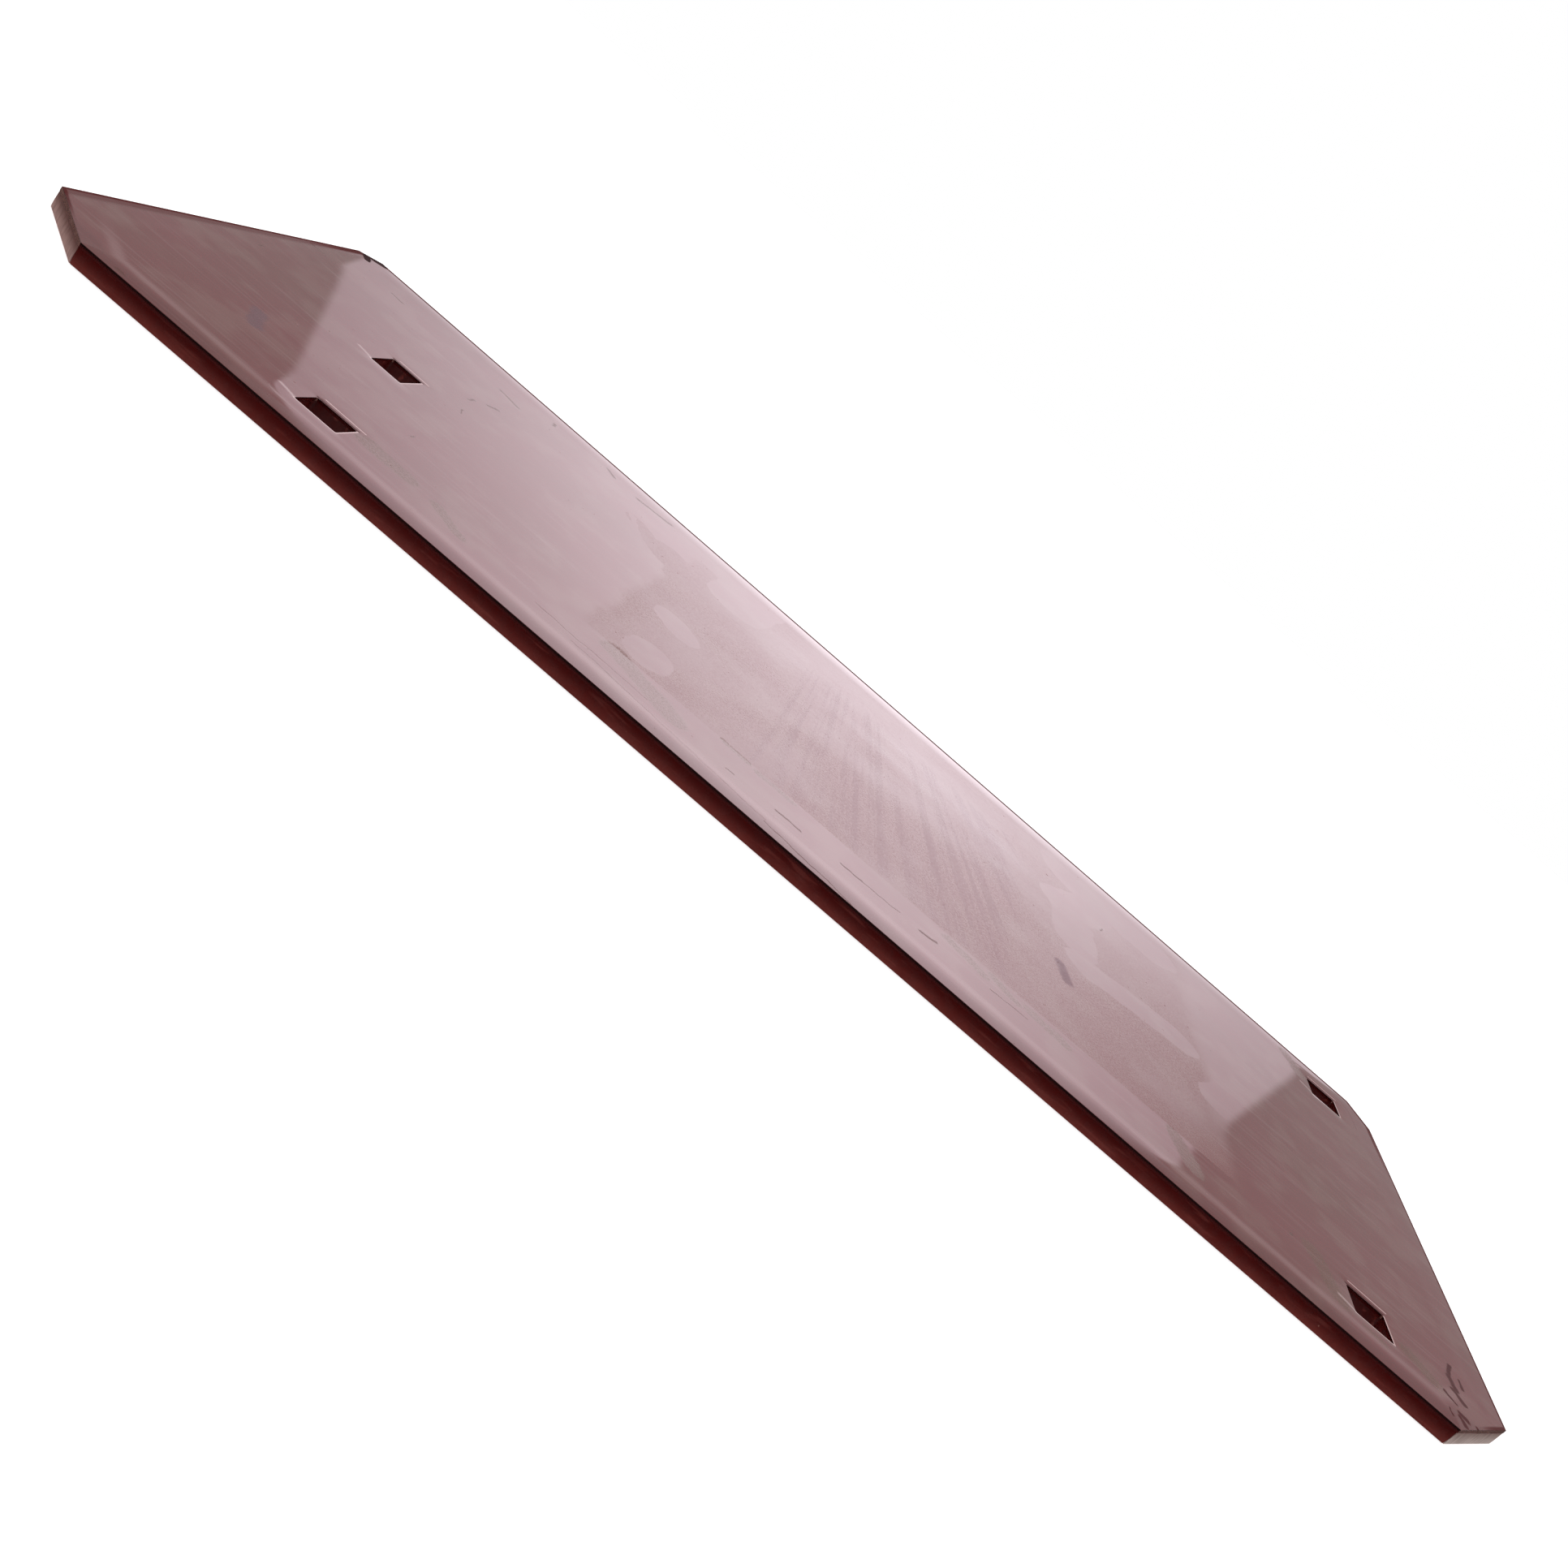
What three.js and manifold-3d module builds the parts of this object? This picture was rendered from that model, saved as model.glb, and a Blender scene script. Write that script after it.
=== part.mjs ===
// Scaffold plank: a short, bolt-down deck plank for a work platform.
//
// A thin steel deck sheet lies on a welded frame of flat bars that follows its outline, clipped
// corners included. Pressed cross stiffeners and a centre spine hold the sheet up between the bars,
// and a square collar under each bolt hole carries the clamping load down to the surface below.
//
// Millimetres, Z up. X runs along the plank and Y across it. The origin is the centre of the
// footprint, on the surface that the plank rests on.

import * as THREE from 'three';
import { mergeVertices } from 'three/addons/utils/BufferGeometryUtils.js';
import Module from 'manifold-3d';

const wasm = await Module();
wasm.setup();

// ---- driving dimensions ----

const plankLength = 732;
const plankWidth = 320;
const plankHeight = 9;

const sheetThickness = 2;
const frameBarWidth = 16;

const nearCornerCut = 37; // both near corners, the same along the plank and across it
const farLeftCornerCut = { along: 9, across: 15 };
const farRightCornerCut = { along: 12, across: 19 };

const boltRowInset = 37; // bolt row to the near edge
const squareHole = { along: 20, across: 20 };
const slottedHole = { along: 17, across: 26 };
const collarWall = 6;
const collarClearance = 0.5; // the collar's opening stands back from the sheet's on every side

const stiffenerCount = 3;
const stiffenerSpacing = 183;
const hat = { crownWidth: 24, flangeWidth: 8, gauge: 1.5 };

const spineWidth = 10;
const hiddenClearance = 0.5; // stiffeners and spine stop this far above the supporting surface
const weldGap = 0.3; // root gap where a piece butts against its neighbour

// ---- sizes that follow ----

const halfLength = plankLength / 2;
const halfWidth = plankWidth / 2;
const sheetUnderside = plankHeight - sheetThickness;
const insideHalfLength = halfLength - frameBarWidth;
const insideHalfWidth = halfWidth - frameBarWidth;

// The four bolt holes: where each one is, and its opening.
const boltHoles = [
  { x: -265, y: 0, opening: slottedHole },
  { x: -237, y: boltRowInset - halfWidth, opening: squareHole },
  { x: 294, y: boltRowInset - halfWidth, opening: squareHole },
  { x: 328, y: 126, opening: squareHole },
];

// ---- finishes ----

function paint(colour, roughness, metalness = 0) {
  return new THREE.MeshStandardMaterial({ color: colour, roughness, metalness });
}

const deckPaint = paint(0x6e2c2a, 0.32);
const framePaint = paint(0x4e100e, 0.38);
const groundCorner = paint(0x6b5650, 0.5, 0.4);
const undersidePrimer = paint(0x552320, 0.7);

// ---- helpers ----

const plank = new THREE.Group();

function addPiece(name, geometry, material) {
  const mesh = new THREE.Mesh(geometry, material);
  mesh.name = name;
  plank.add(mesh);
  return mesh;
}

// The plank's outline seen from above, counter-clockwise from the left end of the near edge.
function plankOutline() {
  return [
    new THREE.Vector2(-halfLength + nearCornerCut, -halfWidth),
    new THREE.Vector2(halfLength - nearCornerCut, -halfWidth),
    new THREE.Vector2(halfLength, -halfWidth + nearCornerCut),
    new THREE.Vector2(halfLength, halfWidth - farRightCornerCut.across),
    new THREE.Vector2(halfLength - farRightCornerCut.along, halfWidth),
    new THREE.Vector2(-halfLength + farLeftCornerCut.along, halfWidth),
    new THREE.Vector2(-halfLength, halfWidth - farLeftCornerCut.across),
    new THREE.Vector2(-halfLength, -halfWidth + nearCornerCut),
  ];
}

// The same outline moved inwards, so that each side lies the given distance inside the first.
function insetOutline(outline, distance) {
  return outline.map((corner, i) => {
    const before = outline[(i + outline.length - 1) % outline.length];
    const after = outline[(i + 1) % outline.length];
    const along = corner.clone().sub(before).normalize();
    const away = after.clone().sub(corner).normalize();
    const inward = new THREE.Vector2(-along.y, along.x).add(new THREE.Vector2(-away.y, away.x));
    const cosineOfHalfTurn = inward.length() / 2;
    return corner.clone().addScaledVector(inward.normalize(), distance / cosineOfHalfTurn);
  });
}

// Corners of a rectangle around a centre, in the order that a hole or an outline needs.
function rectangle(x, y, sizeX, sizeY) {
  return [
    new THREE.Vector2(x - sizeX / 2, y - sizeY / 2),
    new THREE.Vector2(x + sizeX / 2, y - sizeY / 2),
    new THREE.Vector2(x + sizeX / 2, y + sizeY / 2),
    new THREE.Vector2(x - sizeX / 2, y + sizeY / 2),
  ];
}

// A flat plate with upright walls: its outline, and the heights of its two faces.
function plate(outline, bottom, top) {
  const shape = new THREE.Shape(outline);
  const geometry = new THREE.ExtrudeGeometry(shape, { depth: top - bottom, bevelEnabled: false });
  return geometry.translate(0, 0, bottom);
}

function toSolid(geometry) {
  geometry.deleteAttribute('normal');
  geometry.deleteAttribute('uv');
  const merged = mergeVertices(geometry);
  const mesh = new wasm.Mesh({
    numProp: 3,
    vertProperties: merged.attributes.position.array,
    triVerts: Uint32Array.from(merged.index.array),
  });
  return new wasm.Manifold(mesh);
}

function toGeometry(solid) {
  const { vertProperties, triVerts } = solid.getMesh();
  const geometry = new THREE.BufferGeometry();
  geometry.setAttribute('position', new THREE.BufferAttribute(vertProperties, 3));
  geometry.setIndex(new THREE.BufferAttribute(triVerts, 1));
  geometry.computeVertexNormals();
  return geometry;
}

// A plate with upright openings right through it.
function piercedPlate(outline, openings, bottom, top) {
  const cutterOverrun = 1;
  let solid = toSolid(plate(outline, bottom, top));
  for (const opening of openings) {
    solid = solid.subtract(toSolid(plate(opening, bottom - cutterOverrun, top + cutterOverrun)));
  }
  return toGeometry(solid);
}

// ---- deck sheet ----

function addDeckSheet() {
  const holes = boltHoles.map(({ x, y, opening }) => rectangle(x, y, opening.along, opening.across));
  addPiece('deck_sheet', piercedPlate(plankOutline(), holes, sheetUnderside, plankHeight), deckPaint);
}

// ---- frame bars ----

// One mitred bar behind each side of the outline, in the outline's order.
function addFrameBars() {
  const bars = [
    ['near_rail', framePaint],
    ['near_right_corner_bar', groundCorner],
    ['right_end_rail', framePaint],
    ['far_right_corner_bar', groundCorner],
    ['far_rail', framePaint],
    ['far_left_corner_bar', groundCorner],
    ['left_end_rail', framePaint],
    ['near_left_corner_bar', groundCorner],
  ];
  const outer = plankOutline();
  const inner = insetOutline(outer, frameBarWidth);
  bars.forEach(([name, material], i) => {
    const next = (i + 1) % outer.length;
    const along = outer[next].clone().sub(outer[i]).normalize();
    const start = along.clone().multiplyScalar(weldGap / 2);
    const end = along.clone().multiplyScalar(-weldGap / 2);
    const outline = [
      outer[i].clone().add(start),
      outer[next].clone().add(end),
      inner[next].clone().add(end),
      inner[i].clone().add(start),
    ];
    addPiece(name, plate(outline, 0, sheetUnderside), material);
  });
}

// ---- bolt collars ----

function addBoltCollars() {
  boltHoles.forEach(({ x, y, opening }, i) => {
    const clearX = opening.along + 2 * collarClearance;
    const clearY = opening.across + 2 * collarClearance;
    const outline = rectangle(x, y, clearX + 2 * collarWall, clearY + 2 * collarWall);
    const hole = rectangle(x, y, clearX, clearY);
    addPiece(`bolt_collar_${i + 1}`, piercedPlate(outline, [hole], 0, sheetUnderside), framePaint);
  });
}

// ---- cross stiffeners ----

// The hat section in its own X-Y plane: crown down, flanges up against the deck sheet.
function hatSection() {
  const outerWeb = hat.crownWidth / 2;
  const innerWeb = outerWeb - hat.gauge;
  const flangeTip = outerWeb + hat.flangeWidth;
  const crown = hiddenClearance;
  const flange = sheetUnderside;
  return new THREE.Shape([
    new THREE.Vector2(-flangeTip, flange - hat.gauge),
    new THREE.Vector2(-outerWeb, flange - hat.gauge),
    new THREE.Vector2(-outerWeb, crown),
    new THREE.Vector2(outerWeb, crown),
    new THREE.Vector2(outerWeb, flange - hat.gauge),
    new THREE.Vector2(flangeTip, flange - hat.gauge),
    new THREE.Vector2(flangeTip, flange),
    new THREE.Vector2(innerWeb, flange),
    new THREE.Vector2(innerWeb, crown + hat.gauge),
    new THREE.Vector2(-innerWeb, crown + hat.gauge),
    new THREE.Vector2(-innerWeb, flange),
    new THREE.Vector2(-flangeTip, flange),
  ]);
}

function stiffenerPositions() {
  const first = -stiffenerSpacing * (stiffenerCount - 1) / 2;
  return Array.from({ length: stiffenerCount }, (_, i) => first + i * stiffenerSpacing);
}

function addCrossStiffeners() {
  const length = 2 * (insideHalfWidth - weldGap);
  stiffenerPositions().forEach((x, i) => {
    const geometry = new THREE.ExtrudeGeometry(hatSection(), { depth: length, bevelEnabled: false });
    geometry.translate(0, 0, -length / 2).rotateX(Math.PI / 2);
    addPiece(`cross_stiffener_${i + 1}`, geometry, undersidePrimer).position.x = x;
  });
}

// ---- centre spine ----

// Short bars on the centreline. They fill the stretches that the end rails, the stiffeners and the
// collar of the slotted hole leave free.
function addSpine() {
  const flangeTip = hat.crownWidth / 2 + hat.flangeWidth;
  const slotted = boltHoles[0];
  const collarReach = slotted.opening.along / 2 + collarClearance + collarWall;
  const obstacles = [
    [slotted.x - collarReach, slotted.x + collarReach],
    ...stiffenerPositions().map((x) => [x - flangeTip, x + flangeTip]),
    [insideHalfLength, insideHalfLength],
  ];
  let start = -insideHalfLength;
  obstacles.forEach(([obstacleStart, obstacleEnd], i) => {
    const from = start + weldGap;
    const to = obstacleStart - weldGap;
    const outline = rectangle((from + to) / 2, 0, to - from, spineWidth);
    addPiece(`spine_bar_${i + 1}`, plate(outline, hiddenClearance, sheetUnderside), undersidePrimer);
    start = obstacleEnd;
  });
}

addDeckSheet();
addFrameBars();
addBoltCollars();
addCrossStiffeners();
addSpine();

export default plank;
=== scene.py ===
"""Scaffold plank: the finished look of a short, bolt-down deck plank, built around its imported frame.

Metres, Z up. X runs along the plank and Y across it, the plank rests on Z = 0, and the side nearest
to the camera faces -Y.
"""

import math
from contextlib import contextmanager

import bmesh
import bpy
from mathutils import Matrix, Vector


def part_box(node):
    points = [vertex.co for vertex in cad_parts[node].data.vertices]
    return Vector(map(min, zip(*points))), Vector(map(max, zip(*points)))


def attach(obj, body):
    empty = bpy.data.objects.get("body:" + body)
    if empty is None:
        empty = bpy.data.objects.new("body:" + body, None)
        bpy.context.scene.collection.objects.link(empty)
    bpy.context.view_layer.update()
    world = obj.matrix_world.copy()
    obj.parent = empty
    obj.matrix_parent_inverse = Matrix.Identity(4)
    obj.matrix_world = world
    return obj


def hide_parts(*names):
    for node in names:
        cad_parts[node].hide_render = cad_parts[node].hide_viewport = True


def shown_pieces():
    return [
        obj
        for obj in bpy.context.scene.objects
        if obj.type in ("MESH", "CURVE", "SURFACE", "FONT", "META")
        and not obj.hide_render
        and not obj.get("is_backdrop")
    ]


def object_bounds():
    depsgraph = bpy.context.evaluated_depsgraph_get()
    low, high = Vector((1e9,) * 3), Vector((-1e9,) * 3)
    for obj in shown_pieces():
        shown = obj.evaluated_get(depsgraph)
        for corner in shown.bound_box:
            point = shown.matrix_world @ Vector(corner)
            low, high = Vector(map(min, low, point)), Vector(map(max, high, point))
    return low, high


MM = 0.001
UP = Vector((0, 0, 1))

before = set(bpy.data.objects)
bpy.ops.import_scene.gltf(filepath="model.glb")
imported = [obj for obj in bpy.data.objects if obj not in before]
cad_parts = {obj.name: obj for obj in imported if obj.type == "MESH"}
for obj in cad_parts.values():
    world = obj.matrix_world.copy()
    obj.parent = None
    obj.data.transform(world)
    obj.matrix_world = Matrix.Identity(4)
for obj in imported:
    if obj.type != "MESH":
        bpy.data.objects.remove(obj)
cad_low, cad_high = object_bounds()

# ---- sizes that the looks add to the frame ----

WELD_GAP = 0.3 * MM
COLLAR_WALL = 6 * MM
COLLAR_CLEARANCE = 0.5 * MM

BORDER_WIDTH = 16 * MM  # deck edge to the crease over the inner edge of the frame bars
BORDER_DROP = 0.12 * MM
RIM_RADIUS = 0.25 * MM
CREASE_WIDTH = 3 * MM
CREASE_DROP = 0.05 * MM
DISH_WIDTH = 12 * MM
DISH_DEPTH = 0.32 * MM
DISH_STEPS = 10
HOLE_CORNER = 1.0 * MM
PANEL_GRID = 12 * MM
WAVE_LENGTH = 130 * MM
WAVE_HEIGHT = 0.4 * MM
WAVE_TOP = 0.78  # share of the wave that lies below the flat panel, so that none stands proud of it
WAVE_FADE = 25 * MM  # the waves die out over this distance towards the border

BAR_LEVELS = 8
BAR_ARRIS = 0.25 * MM
RAIL_BOW = 0.35 * MM
CORNER_BOW = 0.15 * MM
COLLAR_CORNER = 3 * MM
COLLAR_ARRIS = 0.35 * MM
SPINE_ARRIS = 0.6 * MM

HAT_GAUGE = 1.5 * MM
HAT_FLANGE = 8 * MM
HAT_BEND_RADIUS = 1.6 * MM
HAT_ARRIS = 0.2 * MM
BEAD_RADIUS = 1.5 * MM
BEAD_SINK = 0.6 * MM  # bead centre below the sheet's underside
STITCH_LENGTH = 20 * MM
LONG_SIDE_STITCHES = 8
LONG_SIDE_PITCH = 86 * MM
END_STITCHES = 4
END_PITCH = 60 * MM
RIPPLE = 3 * MM
RIPPLE_HEIGHT = 0.22 * MM
SPOT_PITCH = 28 * MM
SPOTS_IN_ROW = 10
SPOT_RADIUS = 2.4 * MM

CAMERA_AT = Vector((-38.2, -698.1, 183.7)) * MM
CAMERA_AZIMUTH = 2.32  # degrees, and so are the next two
CAMERA_ELEVATION = -16.23
CAMERA_ROLL = 41.43
CAMERA_LENS = 36.05  # millimetres

# The bright panel behind the plank, in degrees round from straight behind it.
PANEL_LEFT = -20.8
PANEL_RIGHT = 22.3
PANEL_SOFTNESS = 0.4


# ---- modelling helpers ----


def deselect_all():
    bpy.ops.object.select_all(action="DESELECT")


@contextmanager
def editing(piece):
    """Edit mode on one piece, with nothing selected to begin with."""
    deselect_all()
    bpy.context.view_layer.objects.active = piece
    piece.select_set(True)
    bpy.ops.object.mode_set(mode="EDIT")
    bpy.ops.mesh.select_all(action="DESELECT")
    yield
    bpy.ops.object.mode_set(mode="OBJECT")


def pick(kind, test):
    """Selects just the faces, edges or corners (FACE, EDGE, VERT) that pass the test."""
    bpy.ops.mesh.select_mode(type=kind)
    bpy.ops.mesh.select_all(action="DESELECT")
    data = bpy.context.edit_object.data
    mesh = bmesh.from_edit_mesh(data)
    mesh.normal_update()
    for element in {"FACE": mesh.faces, "EDGE": mesh.edges, "VERT": mesh.verts}[kind]:
        if test(element):
            element.select_set(True)
    mesh.select_flush_mode()
    bmesh.update_edit_mesh(data)


def faces_up(face):
    return face.normal.z > 0.99


def is_level(face):
    return abs(face.normal.z) > 0.99


def middle(edge):
    return (edge.verts[0].co + edge.verts[1].co) / 2


def direction(edge):
    return (edge.verts[1].co - edge.verts[0].co).normalized()


def block(name, low, high):
    """A box between two corners, with its place in its mesh."""
    deselect_all()
    bpy.ops.mesh.primitive_cube_add(size=1, location=(low + high) / 2, scale=high - low)
    piece = bpy.context.object
    piece.name = piece.data.name = name
    settle(piece)
    return piece


def settle(piece):
    """Moves the object's place, turn and scale into its mesh."""
    deselect_all()
    bpy.context.view_layer.objects.active = piece
    piece.select_set(True)
    bpy.ops.object.transform_apply(location=True, rotation=True, scale=True)


def modify(piece, kind, **settings):
    """Adds a modifier and applies it at once."""
    deselect_all()
    bpy.context.view_layer.objects.active = piece
    piece.select_set(True)
    modifier = piece.modifiers.new(kind.lower(), kind)
    for key, value in settings.items():
        setattr(modifier, key, value)
    bpy.ops.object.modifier_apply(modifier=modifier.name)


def round_edges(piece, width, segments=2, angle=35):
    modify(
        piece,
        "BEVEL",
        width=width,
        segments=segments,
        limit_method="ANGLE",
        angle_limit=math.radians(angle),
    )


def cut_away(point, outward):
    """In edit mode: cuts the whole piece by a plane, drops the outward side and closes the cut."""
    bpy.ops.mesh.select_all(action="SELECT")
    bpy.ops.mesh.bisect(plane_co=point, plane_no=outward, use_fill=True, clear_outer=True)


def slice_through(point, normal):
    """In edit mode: cuts all that is selected by a plane, and keeps both sides."""
    bpy.ops.mesh.bisect(plane_co=point, plane_no=normal)


def smooth(piece, angle=30):
    deselect_all()
    bpy.context.view_layer.objects.active = piece
    piece.select_set(True)
    bpy.ops.object.shade_smooth_by_angle(angle=math.radians(angle))


def hand_over(piece, finish, node=None):
    """Gives a finished piece its material and its body, and hides the frame part that it stands for."""
    smooth(piece)
    modify(piece, "WEIGHTED_NORMAL", mode="FACE_AREA", weight=100, keep_sharp=True)
    piece.data.materials.clear()
    piece.data.materials.append(finish)
    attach(piece, "root")
    if node:
        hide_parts(node)


# ---- outline ----


def plank_outline():
    """Corners of the outline from above, counter-clockwise from the left end of the near edge."""
    near_low, near_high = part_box("near_rail")
    far_low, far_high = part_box("far_rail")
    left_low, left_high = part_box("left_end_rail")
    right_low, right_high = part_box("right_end_rail")
    gap = WELD_GAP / 2
    return [
        Vector((near_low.x - gap, cad_low.y, 0)),
        Vector((near_high.x + gap, cad_low.y, 0)),
        Vector((cad_high.x, right_low.y - gap, 0)),
        Vector((cad_high.x, right_high.y + gap, 0)),
        Vector((far_high.x + gap, cad_high.y, 0)),
        Vector((far_low.x - gap, cad_high.y, 0)),
        Vector((cad_low.x, left_high.y + gap, 0)),
        Vector((cad_low.x, left_low.y - gap, 0)),
    ]


OUTLINE = plank_outline()


def bolt_openings():
    """Centre and opening of each bolt hole in the deck sheet, from the collar under it."""
    openings = []
    for number in range(1, 5):
        low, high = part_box(f"bolt_collar_{number}")
        margin = COLLAR_WALL + COLLAR_CLEARANCE
        openings.append(((low + high) / 2, high.x - low.x - 2 * margin, high.y - low.y - 2 * margin))
    return openings


# ---- deck sheet ----


def dish_cutter(centre, size_x, size_y, deck_top, deck_bottom):
    """What a punch takes away: the opening itself, and the shallow dish that it draws round it."""
    lead = 0.3 * MM  # the dish starts above the deck, so that its slope cuts the surface cleanly
    margin = DISH_WIDTH + lead
    clearance = 0.02 * MM
    half = Vector((size_x / 2 + margin, size_y / 2 + margin, 0))
    low = Vector((centre.x, centre.y, deck_top + clearance)) - half
    high = Vector((centre.x, centre.y, deck_top + 3 * MM)) + half
    cutter = block("dish_cutter", low, high)
    with editing(cutter):
        pick("EDGE", lambda edge: abs(direction(edge).z) > 0.9)
        bpy.ops.mesh.bevel(offset=margin + HOLE_CORNER, segments=8, affect="EDGES")
        pick("FACE", lambda face: face.normal.z < -0.99)
        depth_before = 0
        for step in range(1, DISH_STEPS + 1):
            depth = DISH_DEPTH * (step / DISH_STEPS) ** 3 + clearance
            bpy.ops.mesh.inset(thickness=margin / DISH_STEPS, depth=depth - depth_before)
            depth_before = depth
        bpy.ops.mesh.inset(thickness=0, depth=deck_top - deck_bottom + 2 * MM)
    return cutter


def add_deck_plate(finish):
    """The sheet: clipped outline, sloped border, lowered panel, dished holes, rolled top rim."""
    low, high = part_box("deck_sheet")
    panel_top = high.z - CREASE_DROP
    plate = block("deck_plate", low, high)

    def is_rim(vert):
        at_top = vert.co.z > high.z - 0.01 * MM
        return at_top and any(face.normal.z < 0.5 for face in vert.link_faces)

    with editing(plate):
        for clip in (7, 1, 3, 5):
            start = OUTLINE[clip]
            along = (OUTLINE[(clip + 1) % len(OUTLINE)] - start).normalized()
            cut_away(start, along.cross(UP))
        pick("FACE", faces_up)
        bpy.ops.mesh.inset(thickness=BORDER_WIDTH)
        bpy.ops.mesh.inset(thickness=CREASE_WIDTH, depth=-CREASE_DROP)
        pick("VERT", is_rim)
        bpy.ops.transform.translate(value=(0, 0, -BORDER_DROP))
    for centre, size_x, size_y in bolt_openings():
        cutter = dish_cutter(centre, size_x, size_y, panel_top, low.z)
        modify(plate, "BOOLEAN", operation="DIFFERENCE", solver="EXACT", object=cutter)
        bpy.data.objects.remove(cutter)
    round_deck_edges(plate, high)
    warp_panel(plate, low, high)
    hand_over(plate, finish, "deck_sheet")


def round_deck_edges(plate, high):
    """The top rim gets a rolled radius, and the upright corners a smaller one."""
    top_rim = high.z - BORDER_DROP

    def is_top_rim(edge):
        return all(abs(vert.co.z - top_rim) < 0.02 * MM for vert in edge.verts) and any(
            face.normal.z < 0.5 for face in edge.link_faces
        )

    with editing(plate):
        pick("EDGE", is_top_rim)
        bpy.ops.transform.edge_bevelweight(value=1.0)
        pick("EDGE", lambda edge: abs(direction(edge).z) > 0.9 and edge.calc_face_angle(0) > 0.3)
        bpy.ops.transform.edge_bevelweight(value=0.5)
    modify(plate, "BEVEL", width=RIM_RADIUS, segments=3, limit_method="WEIGHT")


def warp_panel(plate, low, high):
    """Slices the top into a grid and gives it the faint waves that welding leaves in thin sheet."""
    with editing(plate):
        for axis, start, end in ((0, low.x, high.x), (1, low.y, high.y)):
            normal = Vector((1, 0, 0)) if axis == 0 else Vector((0, 1, 0))
            count = int((end - start) / PANEL_GRID)
            for step in range(1, count):
                pick("FACE", lambda face: face.normal.z > 0.999)
                slice_through(normal * (start + step * (end - start) / count), normal)
    waves = bpy.data.textures.new("sheet_waves", "CLOUDS")
    waves.noise_scale = WAVE_LENGTH
    waves.noise_depth = 0
    group = plate.vertex_groups.new(name="panel")
    inner = BORDER_WIDTH + CREASE_WIDTH
    for vert in plate.data.vertices:
        reach_x = min(vert.co.x - low.x, high.x - vert.co.x) - inner
        reach_y = min(vert.co.y - low.y, high.y - vert.co.y) - inner
        weight = min(1, max(0, min(reach_x, reach_y) / WAVE_FADE))
        if vert.co.z > high.z - 1 * MM and weight > 0:
            group.add([vert.index], weight, "REPLACE")
    modify(
        plate,
        "DISPLACE",
        texture=waves,
        texture_coords="OBJECT",
        direction="Z",
        strength=WAVE_HEIGHT,
        mid_level=WAVE_TOP,
        vertex_group="panel",
    )


# ---- frame bars ----


def add_frame_bar(name, node, start, bow, finish):
    """One mitred flat bar behind one side of the outline, its outer face bowed by rolling."""
    count = len(OUTLINE)
    before, here, there, after = (OUTLINE[(start + step) % count] for step in (-1, 0, 1, 2))
    along = (there - here).normalized()
    half_turns = [
        (here - before).normalized().angle(along) / 2,
        along.angle((after - there).normalized()) / 2,
    ]
    length = (there - here).length
    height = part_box(node)[1].z
    overrun = BORDER_WIDTH  # to be cut off again by the mitres
    bar = block(name, Vector((-overrun, 0, 0)), Vector((length + overrun, BORDER_WIDTH, height)))
    with editing(bar):
        for level in range(1, BAR_LEVELS):
            bpy.ops.mesh.select_all(action="SELECT")
            slice_through(UP * height * level / BAR_LEVELS, UP)
        for level in range(BAR_LEVELS + 1):
            at_level = height * level / BAR_LEVELS
            upper_share = 0.3 if level > BAR_LEVELS / 2 else 1
            share = (2 * level / BAR_LEVELS - 1) ** 2 * upper_share
            pick("VERT", lambda vert: vert.co.y < 0.1 * MM and abs(vert.co.z - at_level) < 0.01 * MM)
            bpy.ops.transform.translate(value=(0, bow * share, 0))
        slope = math.tan(half_turns[0])
        cut_away(Vector((WELD_GAP / 2, 0, 0)), Vector((-1, slope, 0)).normalized())
        slope = math.tan(half_turns[1])
        cut_away(Vector((length - WELD_GAP / 2, 0, 0)), Vector((1, slope, 0)).normalized())
    round_edges(bar, BAR_ARRIS, segments=2, angle=40)
    bar.location = here
    bar.rotation_euler.z = math.atan2(along.y, along.x)
    settle(bar)
    hand_over(bar, finish, node)


def add_frame_bars(rail_finish, corner_finish):
    """The bars in the outline's order: a rail behind each straight side, a short bar behind a clip."""
    sides = [
        "near_rail",
        "near_right_corner_bar",
        "right_end_rail",
        "far_right_corner_bar",
        "far_rail",
        "far_left_corner_bar",
        "left_end_rail",
        "near_left_corner_bar",
    ]
    for start, node in enumerate(sides):
        if node.endswith("rail"):
            add_frame_bar(node + "_bar", node, start, RAIL_BOW, rail_finish)
        else:
            add_frame_bar(node + "_plate", node, start, CORNER_BOW, corner_finish)


# ---- bolt collars ----


def add_bolt_collar(number, finish):
    """A square ring with rounded corners, which carries the bolt's load past the open underside."""
    node = f"bolt_collar_{number}"
    low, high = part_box(node)
    centre = (low + high) / 2
    collar = block(f"bolt_seat_{number}", low, high)

    def is_outer_corner(edge):
        on_outside = abs(abs(middle(edge).x - centre.x) - (high.x - low.x) / 2) < 0.1 * MM
        return on_outside and abs(direction(edge).z) > 0.9

    with editing(collar):
        pick("FACE", is_level)
        bpy.ops.mesh.inset(thickness=COLLAR_WALL)
        bpy.ops.mesh.bridge_edge_loops()
        pick("EDGE", is_outer_corner)
        bpy.ops.mesh.bevel(offset=COLLAR_CORNER, segments=5, affect="EDGES")
        pick("EDGE", lambda edge: abs(direction(edge).z) > 0.9 and edge.calc_face_angle(0) > 1.2)
        bpy.ops.mesh.bevel(offset=HOLE_CORNER + COLLAR_CLEARANCE, segments=4, affect="EDGES")
    round_edges(collar, COLLAR_ARRIS, segments=2, angle=50)
    hand_over(collar, finish, node)


# ---- cross stiffeners ----


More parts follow.
